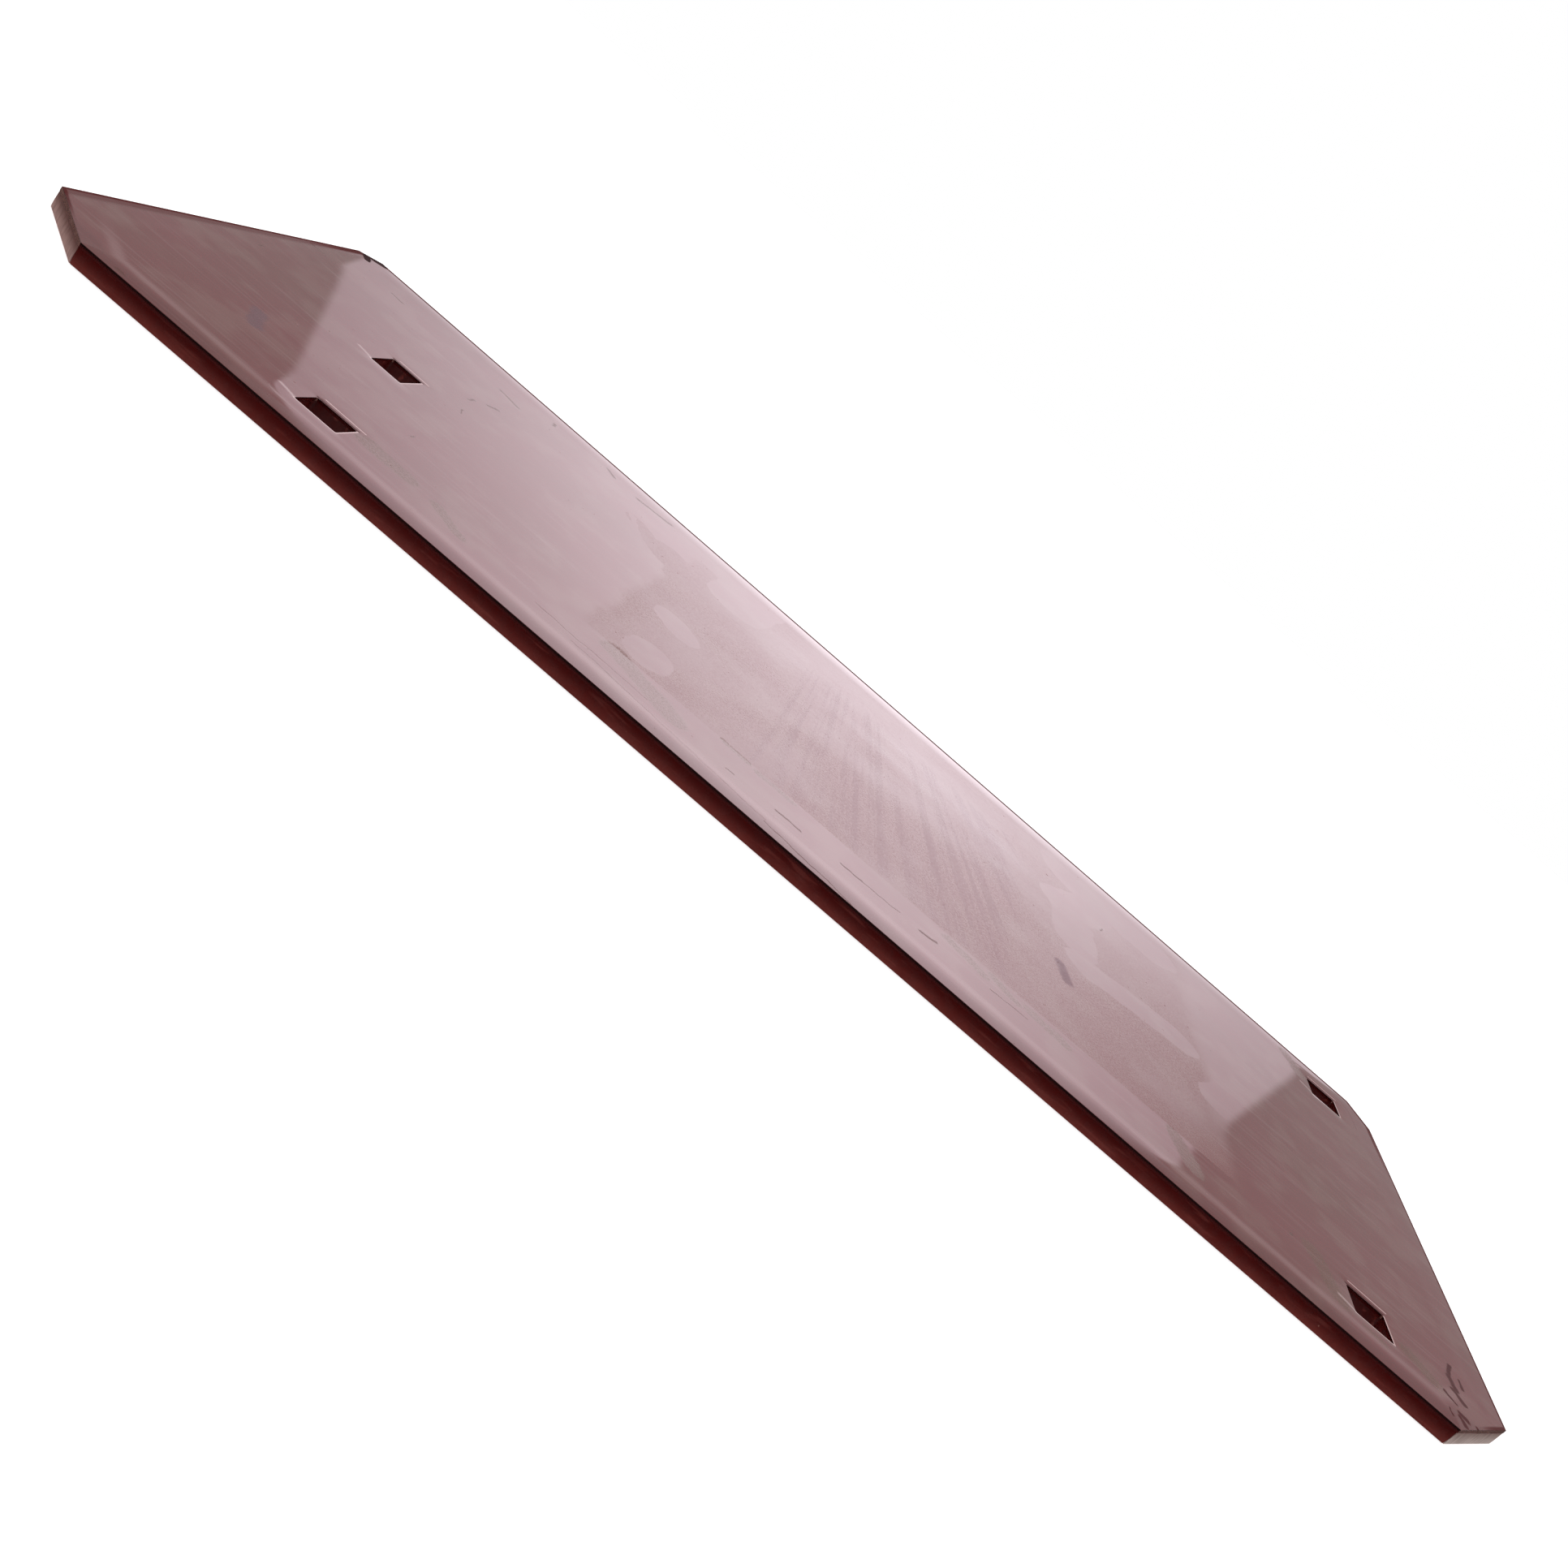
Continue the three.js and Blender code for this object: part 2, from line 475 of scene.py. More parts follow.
def add_cross_stiffener(number, finish):
    """A strip pressed into a hat section, crown down, with its flanges flat against the sheet."""
    node = f"cross_stiffener_{number}"
    low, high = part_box(node)
    centre = (low + high) / 2
    crown_half = (high.x - low.x) / 2 - HAT_FLANGE - HAT_GAUGE / 2
    web = high.z - low.z - HAT_GAUGE
    deselect_all()
    bpy.ops.mesh.primitive_plane_add(size=1, location=(centre.x, centre.y, low.z + HAT_GAUGE / 2))
    strip = bpy.context.object
    strip.name = strip.data.name = f"cross_stiffener_hat_{number}"
    strip.scale = (2 * crown_half, high.y - low.y, 1)
    settle(strip)

    def is_bend(edge):
        at_web = abs(abs(middle(edge).x - centre.x) - crown_half) < 0.1 * MM
        return at_web and abs(direction(edge).y) > 0.9

    with editing(strip):
        for side in (-1, 1):
            pick("EDGE", lambda edge: abs(middle(edge).x - centre.x - side * crown_half) < 0.1 * MM)
            bpy.ops.mesh.extrude_region_move(TRANSFORM_OT_translate={"value": (0, 0, web)})
            reach = HAT_FLANGE + HAT_GAUGE / 2
            bpy.ops.mesh.extrude_region_move(TRANSFORM_OT_translate={"value": (side * reach, 0, 0)})
        pick("EDGE", is_bend)
        bpy.ops.mesh.bevel(offset=HAT_BEND_RADIUS, segments=5, affect="EDGES")
        bpy.ops.mesh.select_all(action="SELECT")
        bpy.ops.mesh.normals_make_consistent(inside=False)
    modify(strip, "SOLIDIFY", thickness=HAT_GAUGE, offset=0, use_even_offset=True)
    round_edges(strip, HAT_ARRIS, segments=2, angle=50)
    hand_over(strip, finish, node)


# ---- centre spine ----


def add_spine_bar(number, finish):
    """A short bar against the sheet, with rounded edges and a shallow hollow along its lower face."""
    node = f"spine_bar_{number}"
    low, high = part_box(node)
    bar = block(f"spine_flat_{number}", low, high)
    with editing(bar):
        pick("FACE", lambda face: face.normal.z < -0.99)
        bpy.ops.mesh.inset(thickness=1.6 * MM)
        bpy.ops.mesh.inset(thickness=0.8 * MM, depth=-0.35 * MM)
    round_edges(bar, SPINE_ARRIS, segments=3, angle=40)
    hand_over(bar, finish, node)


# ---- welds ----


def weld_bead(name, start, end):
    """A rippled bead of weld metal between two places, with rounded ends."""
    along = end - start
    deselect_all()
    bpy.ops.mesh.primitive_cylinder_add(
        vertices=12, radius=BEAD_RADIUS, depth=along.length, location=(start + end) / 2
    )
    bead = bpy.context.object
    bead.name = bead.data.name = name
    bead.rotation_euler = along.to_track_quat("Z", "Y").to_euler()
    settle(bead)
    unit = along.normalized()
    ripples = 2 * max(2, round(along.length / RIPPLE))
    step = along.length / ripples

    def is_ridge(vert):
        return round((vert.co - start).dot(unit) / step) % 2 == 1

    with editing(bead):
        pick("EDGE", lambda edge: abs(direction(edge).dot(unit)) > 0.9)
        bpy.ops.mesh.subdivide(number_cuts=ripples - 1)
        pick("VERT", is_ridge)
        bpy.ops.transform.shrink_fatten(value=RIPPLE_HEIGHT)
        for tip in (start, end):
            pick("FACE", lambda face: (face.calc_center_median() - tip).length < 0.3 * MM)
            bpy.ops.mesh.inset(thickness=BEAD_RADIUS * 0.35, depth=BEAD_RADIUS * 0.5)
    return bead


def repeat(piece, count, step):
    """Repeats a piece in a row, as one mesh."""
    modify(
        piece,
        "ARRAY",
        count=count,
        use_relative_offset=False,
        use_constant_offset=True,
        constant_offset_displace=step,
    )


def add_stitch_welds(finish):
    """Short beads at an even pitch where the frame bars' inner faces meet the sheet."""
    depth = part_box("deck_sheet")[0].z - BEAD_SINK
    lengthwise = (Vector((1, 0, 0)), LONG_SIDE_STITCHES, LONG_SIDE_PITCH)
    crosswise = (Vector((0, 1, 0)), END_STITCHES, END_PITCH)
    sides = [
        ("near", (0, cad_low.y + BORDER_WIDTH, depth), lengthwise),
        ("far", (0, cad_high.y - BORDER_WIDTH, depth), lengthwise),
        ("left", (cad_low.x + BORDER_WIDTH, 0, depth), crosswise),
        ("right", (cad_high.x - BORDER_WIDTH, 0, depth), crosswise),
    ]
    for side, centre, (along, count, pitch) in sides:
        first = Vector(centre) - along * pitch * (count - 1) / 2
        half = along * STITCH_LENGTH / 2
        bead = weld_bead(f"stitch_weld_{side}", first - half, first + half)
        repeat(bead, count, along * pitch)
        hand_over(bead, finish)


def add_collar_welds(number, finish):
    """A bead along the near side and the far side of a bolt collar, up against the sheet."""
    low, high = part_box(f"bolt_collar_{number}")
    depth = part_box("deck_sheet")[0].z - BEAD_SINK
    for side, y in (("near", low.y), ("far", high.y)):
        start = Vector((low.x + 5 * MM, y, depth))
        end = Vector((high.x - 5 * MM, y, depth))
        bead = weld_bead(f"collar_weld_{number}_{side}", start, end)
        hand_over(bead, finish)


def add_stiffener_welds(number, finish):
    """A bead across each end of a stiffener's crown, and the spot welds through its flanges."""
    low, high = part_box(f"cross_stiffener_{number}")
    crown_from = low.x + HAT_FLANGE + 3 * MM
    crown_to = high.x - HAT_FLANGE - 3 * MM
    height = low.z + BEAD_RADIUS + 0.4 * MM
    for side, y in (("near", low.y), ("far", high.y)):
        start = Vector((crown_from, y, height))
        end = Vector((crown_to, y, height))
        bead = weld_bead(f"stiffener_weld_{number}_{side}", start, end)
        hand_over(bead, finish)
    first = (low.y + high.y) / 2 - SPOT_PITCH * (SPOTS_IN_ROW - 1) / 2
    place = (low.x + HAT_FLANGE / 2, first, high.z - HAT_GAUGE)
    deselect_all()
    bpy.ops.mesh.primitive_cylinder_add(
        vertices=16, radius=SPOT_RADIUS, depth=0.5 * MM, location=place
    )
    spots = bpy.context.object
    spots.name = spots.data.name = f"spot_welds_{number}"
    settle(spots)
    with editing(spots):
        pick("FACE", lambda face: face.normal.z < -0.99)
        bpy.ops.mesh.inset(thickness=0.7 * MM, depth=0.1 * MM)
        bpy.ops.mesh.inset(thickness=0.5 * MM, depth=-0.2 * MM)
    repeat(spots, SPOTS_IN_ROW, Vector((0, SPOT_PITCH, 0)))
    repeat(spots, 2, Vector((high.x - low.x - HAT_FLANGE, 0, 0)))
    hand_over(spots, finish)


# ---- finishes ----


class Nodes:
    """A node tree being put together. Each call adds one node and gives back its output."""

    def __init__(self, tree):
        self.tree = tree

    def add(self, kind, *inputs, **settings):
        node = self.tree.nodes.new(kind)
        for key, value in settings.items():
            setattr(node, key, value)
        for socket, value in inputs:
            self.feed(node.inputs[socket], value)
        return node

    def feed(self, socket, value):
        if isinstance(value, bpy.types.NodeSocket):
            self.tree.links.new(value, socket)
        elif value is not None:
            socket.default_value = value

    def math(self, operation, a, b=None, c=None, clamp=False):
        inputs = ((0, a), (1, b), (2, c))
        return self.add("ShaderNodeMath", *inputs, operation=operation, use_clamp=clamp).outputs[0]

    def both(self, a, b):
        return self.math("MULTIPLY", a, b)

    def vector(self, operation, a, b=None, c=None):
        return self.add("ShaderNodeVectorMath", (0, a), (1, b), (2, c), operation=operation).outputs[0]

    def parts(self, place):
        """The three coordinates of a place."""
        return self.add("ShaderNodeSeparateXYZ", (0, place)).outputs

    def span(self, value, low, high, to_low=0.0, to_high=1.0):
        """Maps low..high smoothly to to_low..to_high, and holds the ends."""
        node = self.add(
            "ShaderNodeMapRange",
            ("Value", value),
            ("From Min", low),
            ("From Max", high),
            ("To Min", to_low),
            ("To Max", to_high),
            interpolation_type="SMOOTHSTEP",
        )
        return node.outputs["Result"]

    def mix(self, factor, a, b):
        return self.add("ShaderNodeMix", ("Factor", factor), (2, a), (3, b)).outputs[0]

    def blend(self, factor, a, b):
        """Mixes two colours."""
        node = self.add("ShaderNodeMix", ("Factor", factor), (6, a), (7, b), data_type="RGBA")
        return node.outputs[2]


class Finish(Nodes):
    """A paint or other surface: a start, then layers that dull and tint it."""

    def __init__(self, name, **constants):
        self.material = bpy.data.materials.new(name)
        self.material.use_nodes = True
        super().__init__(self.material.node_tree)
        self.shader = self.tree.nodes["Principled BSDF"]
        for socket, value in constants.items():
            self.shader.inputs[socket.replace("_", " ")].default_value = value
        self.place = self.add("ShaderNodeTexCoord").outputs["Object"]
        self.millimetres = self.stretched((1 / MM, 1 / MM, 1 / MM))

    def stretched(self, scale, turn=0.0, place=None):
        """The place on the piece, turned about Z and stretched, for patterns with a direction."""
        node = self.add(
            "ShaderNodeMapping",
            ("Vector", place or self.place),
            ("Rotation", (0, 0, math.radians(turn))),
            ("Scale", scale),
        )
        return node.outputs[0]

    def noise(self, scale, detail=2.0, place=None, roughness=0.5):
        node = self.add(
            "ShaderNodeTexNoise",
            ("Vector", place or self.place),
            ("Scale", scale),
            ("Detail", detail),
            ("Roughness", roughness),
        )
        return node.outputs["Fac"]

    def wobbled(self, place, size, reach):
        """A place pushed about by noise, so that the edges of marks are uneven."""
        node = self.add("ShaderNodeTexNoise", ("Vector", place), ("Scale", 1 / size), ("Detail", 2.0))
        centred = self.vector("SUBTRACT", node.outputs["Color"], (0.5, 0.5, 0.5))
        return self.vector("ADD", place, self.vector("MULTIPLY", centred, (reach, reach, 0)))

    def stroke(self, place, start, end, radius, softness):
        """1 along a straight stroke with round ends, falling to 0 at its edge."""
        start = Vector((*start, 0))
        reach = Vector((*end, 0)) - start
        unit = reach / max(reach.length_squared, 1e-9)
        from_start = self.vector("SUBTRACT", place, start)
        share = self.add("ShaderNodeVectorMath", (0, from_start), (1, unit), operation="DOT_PRODUCT")
        held = self.math("ADD", share.outputs["Value"], 0.0, clamp=True)
        along = self.add("ShaderNodeVectorMath", (0, reach), ("Scale", held), operation="SCALE")
        gap = self.add("ShaderNodeVectorMath", (0, from_start), (1, along.outputs[0]), operation="DISTANCE")
        return self.span(gap.outputs["Value"], radius, radius * (1 - softness))

    def strokes(self, place, marks, softness=0.5):
        """All the strokes of a list (start, end, radius) as one mask.

        They wait for the layers below them, because a shader can't hold every stroke at once. What
        makes them wait is far too small to move them.
        """
        wait = self.math("MULTIPLY", self.rough, 1e-9)
        flat = self.vector("MULTIPLY_ADD", place, (1, 1, 0), wait)
        total = None
        for start, end, radius in marks:
            mask = self.stroke(flat, start, end, radius, softness)
            total = mask if total is None else self.math("MAXIMUM", total, mask)
        return total

    def start(self, base, rough):
        self.base = base
        self.rough = rough

    def lay(self, mask, dulling, strength=0.0, tint=(0, 0, 0, 1)):
        """Lays one more thing over the paint where the mask is: it dulls and tints what is there."""
        self.rough = self.math("MULTIPLY_ADD", mask, dulling, self.rough)
        if strength:
            share = mask if strength == 1 else self.math("MULTIPLY", mask, strength)
            self.base = self.blend(share, self.base, tint)

    def bump(self, height, strength, distance):
        node = self.add(
            "ShaderNodeBump", ("Height", height), ("Strength", strength), ("Distance", distance)
        )
        return node.outputs[0]

    def set(self, **sockets):
        for name, value in sockets.items():
            self.feed(self.shader.inputs[name.replace("_", " ")], value)
        return self.material


def colour(red, green, blue):
    return (red, green, blue, 1.0)


# Marks on the deck, in millimetres from its centre: where each starts and ends, and its half width.

CLEAN_WIPES = [
    ((146, 124), (196, 122), 24),
    ((136, 66), (158, 96), 15),
    ((144, 20), (142, 60), 15),
    ((150, -2), (208, 11), 13),
    ((240, -8), (228, -34), 13),
    ((-94, -16), (-90, -20), 13),
    ((-89, -78), (-88, -92), 12),
    ((-86, 92), (-78, 150), 19),
    ((-130, 140), (-100, 128), 16),
    ((-154, 92), (-136, 52), 2.5),
]
DUST_SPURS = [
    ((-150, 88), (-124, 62), 9),
    ((-126, 84), (-112, 52), 12),
]
RESIDUES = [
    ((-98, -112), (-64, -128), 9),
    ((-221, -117), (-201, -117), 7),
    ((-184, -120), (-168, -130), 4),
    ((-43, -109), (-31, -109), 2.5),
    ((-25, -110), (-6, -110), 3.5),
    ((74, -112), (92, -118), 5),
    ((98, -111), (110, -115), 4),
    ((118, -112), (136, -116), 5),
    ((194, -112), (202, -130), 6),
    ((268, -110), (276, -134), 7),
    ((312, -130), (324, -136), 6),
    ((288, -140), (296, -140), 3),
    ((304, 146), (312, 130), 7),
]
SCRAPES = [
    ((-130, -131.5), (-75, -132.5), 0.45),
    ((-11, -132), (1, -131.5), 1.5),
    ((21, -129.5), (32, -129), 1.3),
    ((32, -129), (50, -128), 0.7),
    ((60, -128), (69, -126), 1.9),
    ((97, -125), (116, -124.5), 0.7),
    ((-36, -133), (-32, -133), 1.0),
    ((-110, -138), (-12, -150), 0.35),
    ((-12, -152), (31, -159), 0.5),
]
SMUDGES = [
    ((-187, 139), (-182, 134), 2.6),
    ((-164, 131), (-142, 138), 3.0),
    ((-244, 55), (-245, 49), 1.8),
    ((-241, 66), (-237, 74), 2.2),
    ((-237, 25), (-235, 18), 1.2),
    ((-252, 112), (-238, 108), 2.2),
    ((-225, 138), (-224, 132), 1.6),
    ((-328, 118), (-320, 117), 1.6),
    ((-362, 82), (-353, 82), 1.4),
    ((-350, 12), (-350, 8), 1.2),
    ((-222, -65), (-222, -69), 0.9),
    ((-315, -156), (-312, -156), 1.6),
    ((163, 76), (165, 81), 0.9),
    ((254, -112), (256, -111), 1.2),
]
FAINT_SPOTS = [
    ((-298, -76), (-290, -96), 5.0),
    ((135, -26), (138, -42), 5.0),
]
CHIPS = [
    ((341, -106), (338, -116), 1.7),
    ((337, -118), (338, -126), 2.6),
    ((344, -114), (344, -120), 1.3),
    ((336, -128), (340, -133), 2.2),
    ((329, -136), (333, -140), 1.6),
    ((327, -148), (327, -152), 0.8),
    ((333, -146), (336, -147), 2.6),
    ((332, -149), (334, -153), 2.0),
    ((342, -145), (342, -147), 1.2),
]
# A painted shadow: a near-black patch on the far-left corner, where the clip's corner lies in shade.
CORNER_SHADE = [((-364, 151), (-358, 156), 6), ((-362, 148), (-358, 139), 2.4)]


def rim_highlight_lines():
    """Painted highlights at each bolt hole: thin bright lines along the rim on two sides, and along the
    crest behind the third.
    """
    lines = []
    for centre, size_x, size_y in bolt_openings():
        left = (centre.x - size_x / 2) / MM
        right = (centre.x + size_x / 2) / MM
        near = (centre.y - size_y / 2) / MM
        far = (centre.y + size_y / 2) / MM
        lines.append(((left, near - 0.4), (right, near - 0.4), 0.8))
        lines.append(((right + 0.3, near), (right + 0.3, far), 0.6))
        lines.append(((left + 2, far + 4.2), (right + 2, far + 3.8), 0.7))
    return lines


def rim_shadows():
    """The dark line on the far side of each bolt hole, where the sheet turns down."""
    shadows = []
    for centre, size_x, size_y in bolt_openings():
        half = size_x / 2 / MM
        far = (centre.y + size_y / 2) / MM
        x = centre.x / MM
        shadows.append(((x - half, far + 0.7), (x + half, far + 0.7), 1.3))
    return shadows


def punch_fold_highlights():
    """Where the painted highlights lie along the soft fold that the punch drew from the left corner of each
    bolt hole.
    """
    fold_highlights = []
    for centre, size_x, size_y in bolt_openings():
        left = (centre.x - size_x / 2) / MM
        near = (centre.y - size_y / 2) / MM
        fold_highlights.append(((left - 8, near + 2.5), (left, near + 0.5), 2.0))
    return fold_highlights


def outline_reach(finish, place):
    """How far inside the outline a place lies, in millimetres."""
    reach = None
    for index, start in enumerate(OUTLINE):
        end = OUTLINE[(index + 1) % len(OUTLINE)]
        inward = UP.cross((end - start).normalized())
        along = finish.add("ShaderNodeVectorMath", (0, place), (1, inward), operation="DOT_PRODUCT")
        distance = finish.math("SUBTRACT", along.outputs["Value"], inward.dot(start) / MM)
        reach = distance if reach is None else finish.math("MINIMUM", reach, distance)
    return reach


def fan_strokes(finish, place):
    """Broad faint strokes that spread like a fan from a point behind the plank."""
    from_pivot = finish.vector("SUBTRACT", place, (-40, 420, 0))
    x, y, _ = finish.parts(from_pivot)
    across = finish.math("MULTIPLY", finish.math("DIVIDE", x, y), 420)
    fan = finish.add("ShaderNodeCombineXYZ", (0, across), (1, y)).outputs[0]
    strokes = finish.noise(1, 4, finish.stretched((0.15, 0.004, 1), 0, fan), 0.65)
    x, y, _ = finish.parts(place)
    zone = finish.both(finish.span(x, -75, -30), finish.span(x, 140, 95))
    zone = finish.both(zone, finish.both(finish.span(y, -122, -100), finish.span(y, 140, 90)))
    return finish.both(strokes, zone), zone


def deck_edge_paint(finish, place, normal):
    """Colour of the sheet's cut edge, and where it is: red with painted shade, near black at the top and
    lighter lower down, and grey on the clips.
    """
    normal_x, normal_y, normal_z = finish.parts(normal)
    height = finish.parts(place)[2]
    is_edge = finish.span(normal_z, 0.75, 0.45)
    clip = finish.both(finish.span(finish.math("ABSOLUTE", normal_x), 0.3, 0.4), is_edge)
    clip = finish.both(clip, finish.span(finish.math("ABSOLUTE", normal_y), 0.3, 0.4))
    # Painted shade: the edge's red goes near black at its top and lighter lower down.
    lower = finish.span(height, 8.8, 7.0)
    red = finish.blend(lower, colour(0.006, 0.0004, 0.0004), colour(0.060, 0.003, 0.003))
    streaks = finish.noise(1, 3, finish.stretched((0.25, 0.25, 0.06), 0, place))
    ground = finish.blend(streaks, colour(0.10, 0.028, 0.022), colour(0.24, 0.12, 0.10))
    return finish.blend(clip, red, ground), is_edge


def lay_dust(finish, place, hand_edge):
    """Dust over the middle of the deck, thinner far away, with the places that hands have wiped."""
    y = finish.parts(place)[1]
    nearness = finish.span(y, 120, -40, 0.65, 1.0)
    grain = finish.span(finish.noise(0.9, 3, place), 0.35, 0.65)
    residues = finish.strokes(hand_edge, RESIDUES, softness=0.35)
    patchy = finish.both(residues, finish.span(grain, 0, 1, 0.5, 1.0))
    finish.lay(patchy, 0.23, 0.7, colour(0.10, 0.036, 0.017))
    x = finish.parts(hand_edge)[0]
    dusty = finish.both(finish.span(x, -124, -114), finish.span(x, 236, 218))
    dusty = finish.math("MAXIMUM", dusty, finish.strokes(hand_edge, DUST_SPURS, softness=0.2))
    taped_off = finish.span(y, -108.5, -106.5)
    dusty = finish.both(finish.both(dusty, taped_off), finish.span(y, 150, 140))
    wiped = finish.strokes(hand_edge, CLEAN_WIPES, softness=0.14)
    dust = finish.both(finish.both(dusty, finish.span(wiped, 0, 1, 1, 0.05)), nearness)
    clouds = finish.noise(1 / 60, 3, place)
    dust = finish.both(dust, finish.span(clouds, 0.3, 0.6, 0.7, 1.0))
    finish.lay(dust, 0.19, 0.35, colour(0.14, 0.035, 0.022))
    finish.lay(finish.both(dust, grain), 0.09)


def lay_fine_strokes(finish, place):
    """Strokes along the plank nearly everywhere, a fan of them across its middle, and a painted glare over
    the middle, stronger towards the far side.
    """
    lengthwise = finish.noise(1, 3, finish.stretched((0.02, 0.5, 1), 3, place))
    finish.lay(finish.span(lengthwise, 0.5, 0.72), 0.03, 0.18, colour(0.28, 0.17, 0.17))
    fan, zone = fan_strokes(finish, place)
    finish.lay(finish.both(finish.span(fan, 0.42, 0.62), zone), 0.06, 0.08, colour(0.34, 0.26, 0.36))
    y = finish.parts(place)[1]
    # Painted glare: a pale sheen laid over the middle of the deck, stronger towards the far side.
    painted_glare = finish.noise(1, 3, finish.stretched((0.012, 0.03, 1), 0, place))
    painted_glare = finish.both(finish.span(painted_glare, 0.40, 0.68), finish.both(zone, finish.span(y, -10, 70)))
    finish.lay(painted_glare, 0.0, 0.16, colour(0.50, 0.46, 0.48))


def lay_border(finish, place):
    """Over the frame bars: painted shade in a dull dark band at the left end and along the near border, a
    painted highlight along the creased line, a painted gleam by the far edge, and painted shade along the
    rolled edge.
    """
    reach = outline_reach(finish, place)
    x, y, _ = finish.parts(place)
    # Painted shade: a dark, duller band at the left end.
    left_end_shade = finish.span(x, -359, -362.5)
    finish.lay(left_end_shade, 0.34, 0.9, colour(0.085, 0.004, 0.004))
    # Painted shade: a dark, duller band along the near border.
    near_border_shade = finish.both(finish.span(reach, 12, 7), finish.span(y, -140, -148))
    finish.lay(near_border_shade, 0.14, 0.4, colour(0.07, 0.004, 0.004))
    # Painted highlight: a pale line along the creased line over the bars' inner edge, strongest near the
    # near side.
    crease = finish.span(finish.math("ABSOLUTE", finish.math("SUBTRACT", reach, 15.5)), 5.0, 0.5)
    crease = finish.both(crease, finish.span(y, -120, -140, 0.12, 1.0))
    finish.lay(crease, 0.0, 0.5, colour(0.24, 0.12, 0.12))
    far_gleam = finish.both(finish.span(y, 138, 148), finish.span(reach, 3, 5))
    far_gleam = finish.both(far_gleam, finish.span(finish.math("ABSOLUTE", x), 230, 40))
    finish.lay(far_gleam, 0.0, 0.30, colour(0.46, 0.38, 0.40))
    rim_shade = finish.both(finish.span(reach, 4.4, 3.0), finish.span(y, 60, 140, 0.0, 1.0))
    side_shade = finish.both(finish.span(reach, 2.2, 1.0), finish.span(y, -150, -130))
    rim_shade = finish.math("MAXIMUM", rim_shade, side_shade)
    finish.lay(rim_shade, 0.66, 1, colour(0.070, 0.008, 0.007))


def deck_paint():
    """Glossy oxide red under dust, with wiped places, scrapes, smudges and chips, and with painted light
    and shade: painted highlights and glare, and painted shade along the borders, at the holes and on one
    corner.
    """
    finish = Finish("deck_paint", IOR=1.5)
    place = finish.millimetres
    hand_edge = finish.wobbled(finish.wobbled(place, 34, 12), 6, 2.5)
    clouds = finish.noise(1 / 60, 3, place)
    finish.start(
        base=finish.blend(clouds, colour(0.104, 0.012, 0.006), colour(0.145, 0.008, 0.016)),
        rough=finish.span(finish.noise(0.25, 2, place), 0.3, 0.7, 0.03, 0.05),
    )
    mottle = finish.noise(1 / 22, 3, finish.vector("ADD", place, (300, 40, 0)))
    finish.lay(finish.span(mottle, 0.45, 0.65), 0.0, 0.09, colour(0.32, 0.27, 0.22))
    lay_dust(finish, place, hand_edge)
    lay_fine_strokes(finish, place)
    lay_border(finish, place)
    lay_marks(finish, place)

    normal = finish.add("ShaderNodeNewGeometry").outputs["Normal"]
    edge_colour, is_edge = deck_edge_paint(finish, place, normal)
    base = finish.blend(is_edge, finish.base, edge_colour)
    rough = finish.math("MINIMUM", finish.rough, 0.95)
    rough = finish.mix(is_edge, rough, 0.2)
    return finish.set(Base_Color=base, Roughness=rough)


def lay_marks(finish, place):
    """Specks, painted highlights along the punch's fold lines and the hole edges, smudges, scrapes, chips,
    and painted shade on the far-left corner and behind each hole.
    """
    fine_edge = finish.wobbled(finish.wobbled(place, 16, 5), 4, 1.6)
    specks = finish.span(finish.noise(0.35, 1, place), 0.77, 0.80)
    finish.lay(specks, 0.25)
    # Painted highlight along the punch's fold lines at each hole.
    fold_highlights = finish.strokes(place, punch_fold_highlights(), softness=1.0)
    finish.lay(fold_highlights, 0.0, 0.55, colour(0.50, 0.36, 0.36))
    smudges = finish.strokes(fine_edge, SMUDGES, softness=0.9)
    finish.lay(smudges, 0.27, 0.85, colour(0.085, 0.020, 0.014))
    spots = finish.strokes(fine_edge, FAINT_SPOTS, softness=0.6)
    finish.lay(spots, 0.13, 0.6, colour(0.07, 0.010, 0.030))
    scrapes = finish.strokes(fine_edge, SCRAPES, softness=0.9)
    finish.lay(scrapes, 0.40, 0.85, colour(0.085, 0.018, 0.014))
    chips = finish.strokes(fine_edge, CHIPS, softness=0.6)
    finish.lay(chips, 0.50, 1, colour(0.055, 0.004, 0.004))
    # Painted shade: near black over the far-left corner.
    corner_shade = finish.strokes(fine_edge, CORNER_SHADE, softness=0.3)
    finish.lay(corner_shade, 0.85, 1, colour(0.02, 0.001, 0.001))
    shadows = finish.strokes(place, rim_shadows(), softness=0.8)
    finish.lay(shadows, 0.5, 1, colour(0.06, 0.004, 0.004))
    # Painted highlight: thin bright lines along the hole edges and the crest behind them.
    rim_highlights = finish.strokes(place, rim_highlight_lines(), softness=0.8)
    finish.lay(rim_highlights, 0.0, 0.6, colour(0.75, 0.52, 0.51))


